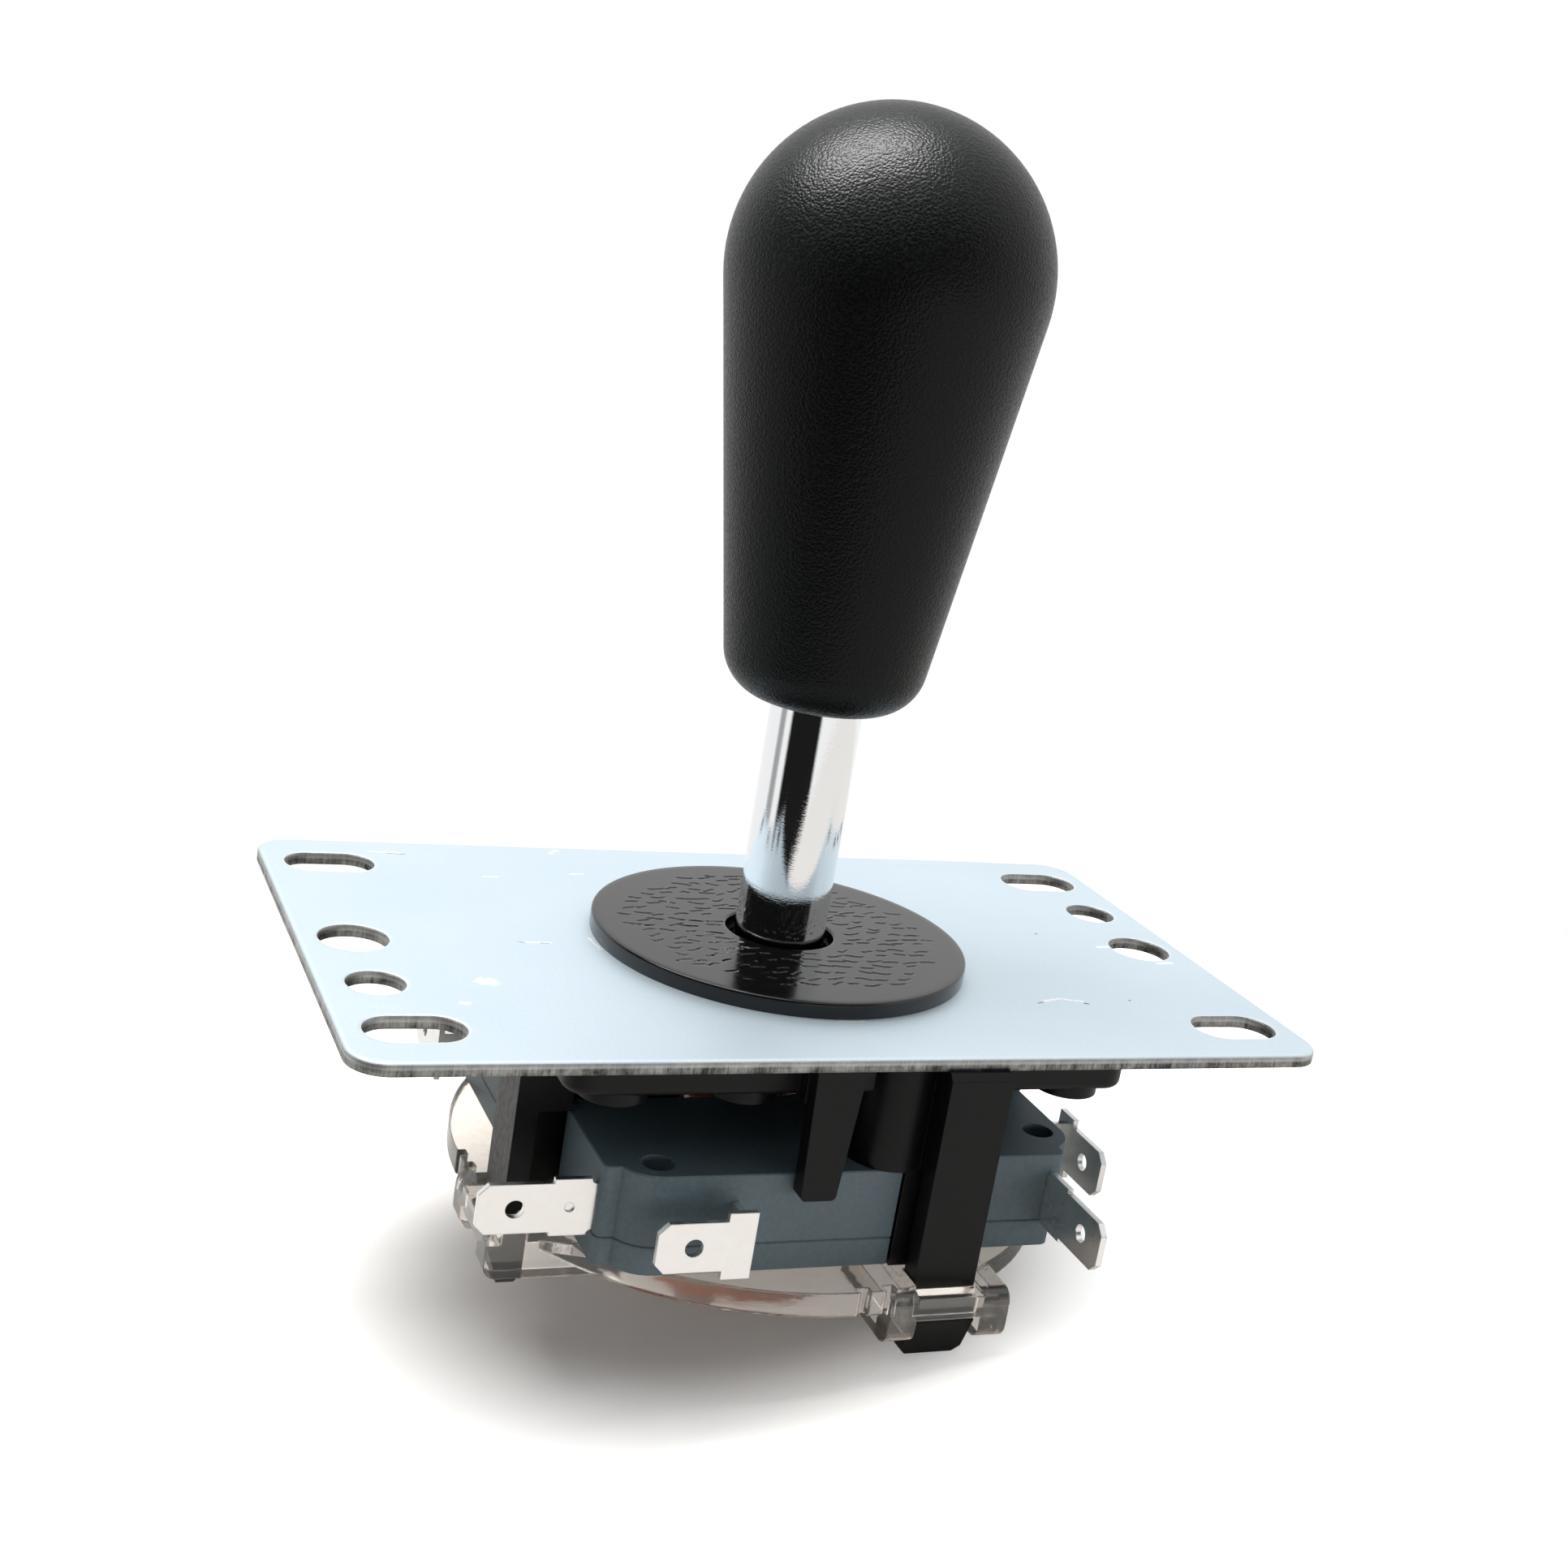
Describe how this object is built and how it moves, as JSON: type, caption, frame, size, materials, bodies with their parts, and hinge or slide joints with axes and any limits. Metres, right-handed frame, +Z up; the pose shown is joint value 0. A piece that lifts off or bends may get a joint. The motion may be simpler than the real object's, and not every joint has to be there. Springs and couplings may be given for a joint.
{
  "type": "arcade joystick lever",
  "caption": "Bat-topped lever on a ball pivot under a slotted steel plate, with switches nested like a pinwheel round it and a clear gate clipped on below.",
  "frame": {"origin": "centre of the plate's four slots, on the lever's axis at the plate's top face", "axes": "+Z up along the lever, +X along the plate's long side, -Y the front"},
  "size_m": [0.095, 0.068, 0.1145],
  "materials": {
    "handle_plastic": "fine moulded grain",
    "insert_brass": "machined",
    "shaft_chrome": "mirror plated",
    "washer_plastic": "creased leather-like grain",
    "plate_zinc": "bluish zinc plating, scuffed",
    "screw_steel": "zinc plated",
    "housing_plastic": "satin moulded",
    "pivot_plastic": "smooth, greased",
    "spring_steel": "bright drawn",
    "actuator_plastic": "smooth moulded",
    "clear_plastic": "clear moulded polycarbonate",
    "switch_plastic": "fine spark-eroded matt",
    "plunger_plastic": "smooth moulded",
    "blade_brass": "rolled strip",
    "terminal_tin": "bright tin plating"
  },
  "bodies": {
    "base": {"mounting_plate": "plate_zinc", "plate_screws": "screw_steel", "dust_washer": "washer_plastic", "base_housing": "housing_plastic", "spring_washer": "spring_steel", "restrictor_gate": "clear_plastic", "switch_case_front": "switch_plastic", "switch_case_right": "switch_plastic", "switch_case_back": "switch_plastic", "switch_case_left": "switch_plastic", "switch_cover_front": "switch_plastic", "switch_cover_right": "switch_plastic", "switch_cover_back": "switch_plastic", "switch_cover_left": "switch_plastic", "contact_blade_front": "blade_brass", "contact_blade_right": "blade_brass", "contact_blade_back": "blade_brass", "contact_blade_left": "blade_brass", "common_terminal_front": "terminal_tin", "common_terminal_right": "terminal_tin", "common_terminal_back": "terminal_tin", "common_terminal_left": "terminal_tin", "open_terminal_front": "terminal_tin", "open_terminal_right": "terminal_tin", "open_terminal_back": "terminal_tin", "open_terminal_left": "terminal_tin"},
    "centring": {"centring_spring": "spring_steel"},
    "lever": {"bat_handle": "handle_plastic", "handle_insert": "insert_brass", "lever_shaft": "shaft_chrome", "pivot_ball": "pivot_plastic", "actuator": "actuator_plastic", "retaining_ring": "spring_steel"},
    "plunger_front": {"switch_plunger_front": "plunger_plastic"},
    "plunger_right": {"switch_plunger_right": "plunger_plastic"},
    "plunger_back": {"switch_plunger_back": "plunger_plastic"},
    "plunger_left": {"switch_plunger_left": "plunger_plastic"}
  },
  "joints": [
    {"name": "tilt_front_back", "type": "hinge", "parent": "base", "child": "centring", "pos_m": [0, 0, -0.001], "axis": [1, 0, 0], "range_deg": [-8.5, 8.5], "stiffness_Nm_per_rad": 0.8, "deforming": ["centring_spring"]},
    {"name": "tilt_left_right", "type": "hinge", "parent": "centring", "child": "lever", "pos_m": [0, 0, -0.001], "axis": [0, 1, 0], "range_deg": [-8.5, 8.5], "stiffness_Nm_per_rad": 0.8, "deforming": ["centring_spring"]},
    {"name": "plunger_front_travel", "type": "slide", "parent": "base", "child": "plunger_front", "axis": [0, -1, 0], "range_m": [-0.0012, 0.0012], "deforming": ["contact_blade_front"]},
    {"name": "plunger_right_travel", "type": "slide", "parent": "base", "child": "plunger_right", "axis": [1, 0, 0], "range_m": [-0.0012, 0.0012], "deforming": ["contact_blade_right"]},
    {"name": "plunger_back_travel", "type": "slide", "parent": "base", "child": "plunger_back", "axis": [0, 1, 0], "range_m": [-0.0012, 0.0012], "deforming": ["contact_blade_back"]},
    {"name": "plunger_left_travel", "type": "slide", "parent": "base", "child": "plunger_left", "axis": [-1, 0, 0], "range_m": [-0.0012, 0.0012], "deforming": ["contact_blade_left"]}
  ],
  "couplings": [
    {"joint": "plunger_front_travel", "follows": "tilt_front_back", "m_per_rad": -0.008088},
    {"joint": "plunger_right_travel", "follows": "tilt_left_right", "m_per_rad": -0.008088},
    {"joint": "plunger_back_travel", "follows": "tilt_front_back", "m_per_rad": 0.008088},
    {"joint": "plunger_left_travel", "follows": "tilt_left_right", "m_per_rad": 0.008088}
  ]
}
